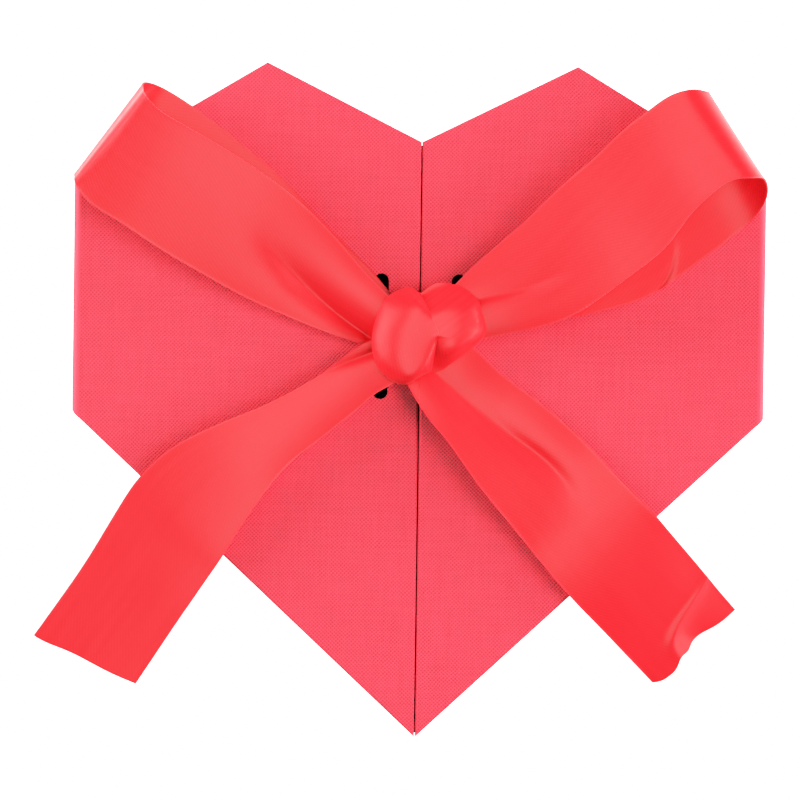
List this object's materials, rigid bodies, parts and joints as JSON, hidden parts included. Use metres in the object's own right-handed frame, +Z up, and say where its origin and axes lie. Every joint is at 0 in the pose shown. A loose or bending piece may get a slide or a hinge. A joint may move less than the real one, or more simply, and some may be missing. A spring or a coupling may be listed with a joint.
{
  "type": "heart gift box",
  "caption": "Rigid heart-shaped gift box with linen paper, a pair of top doors on paper hinges and a satin ribbon bow tied over the seam.",
  "frame": {"origin": "on the table, in the seam plane, halfway between the peaks and the point", "axes": "+Z up out of the doors, +X to the right door, +Y towards the notch"},
  "size_m": [0.2598, 0.2428, 0.1263],
  "materials": {
    "red_paper": "linen emboss, matte",
    "black_paper": "matte",
    "board": "matte",
    "satin_ribbon": "satin"
  },
  "bodies": {
    "tray": {"base_sheet": "red_paper", "floor_board": "board", "tray_wrap": "red_paper", "wall_lining": "black_paper", "floor_lining": "black_paper", "wall_lower_right": "board", "wall_right": "board", "wall_upper_right_outer": "board", "wall_upper_right_inner": "board", "wall_upper_left_inner": "board", "wall_upper_left_outer": "board", "wall_left": "board", "wall_lower_left": "board", "left_spine_board": "board", "left_spine_wrap": "red_paper", "left_hinge_fold": "red_paper", "right_spine_board": "board", "right_spine_wrap": "red_paper", "right_hinge_fold": "red_paper"},
    "left_door": {"left_door_board": "board", "left_door_wrap": "red_paper", "left_door_lining": "black_paper", "left_hinge_strip": "red_paper", "left_ribbon_anchor": "satin_ribbon", "left_knot_lobe": "satin_ribbon", "left_loop": "satin_ribbon", "left_tail": "satin_ribbon"},
    "right_door": {"right_door_board": "board", "right_door_wrap": "red_paper", "right_door_lining": "black_paper", "right_hinge_strip": "red_paper", "right_ribbon_anchor": "satin_ribbon", "right_knot_lobe": "satin_ribbon", "right_loop": "satin_ribbon", "right_tail": "satin_ribbon"}
  },
  "joints": [
    {"name": "left_door_hinge", "type": "hinge", "parent": "tray", "child": "left_door", "pos_m": [-0.12475, 0, 0.0977], "axis": [0, -1, 0], "range_deg": [0, 180]},
    {"name": "right_door_hinge", "type": "hinge", "parent": "tray", "child": "right_door", "pos_m": [0.12475, 0, 0.0977], "axis": [0, 1, 0], "range_deg": [0, 180]}
  ]
}
